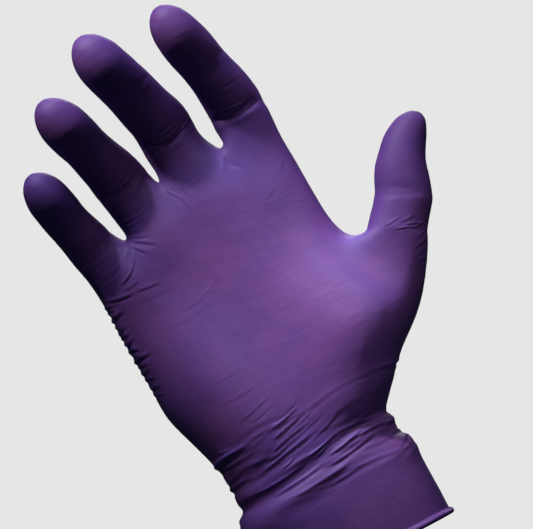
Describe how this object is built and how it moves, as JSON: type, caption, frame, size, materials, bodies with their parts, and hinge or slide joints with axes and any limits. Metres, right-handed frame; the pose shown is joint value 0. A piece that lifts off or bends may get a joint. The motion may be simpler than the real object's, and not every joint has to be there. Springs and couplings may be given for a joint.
{
  "type": "disposable exam glove",
  "caption": "Thin close-fitting exam glove in the form of a worn, open right hand, hollow, with a gathered wrist and a rolled bead at the cuff's rim.",
  "frame": {"origin": "middle of the cuff's opening, in the plane of its rim, where the wrist goes in", "axes": "+Z from the rim to the fingertips, palm facing -Y, back of the hand towards +Y, thumb towards +X"},
  "size_m": [0.1572, 0.0638, 0.2376],
  "materials": {
    "film": "satin violet nitrile film, slightly rough, without any print"
  },
  "bodies": {
    "root": {"glove": "film"}
  },
  "joints": []
}
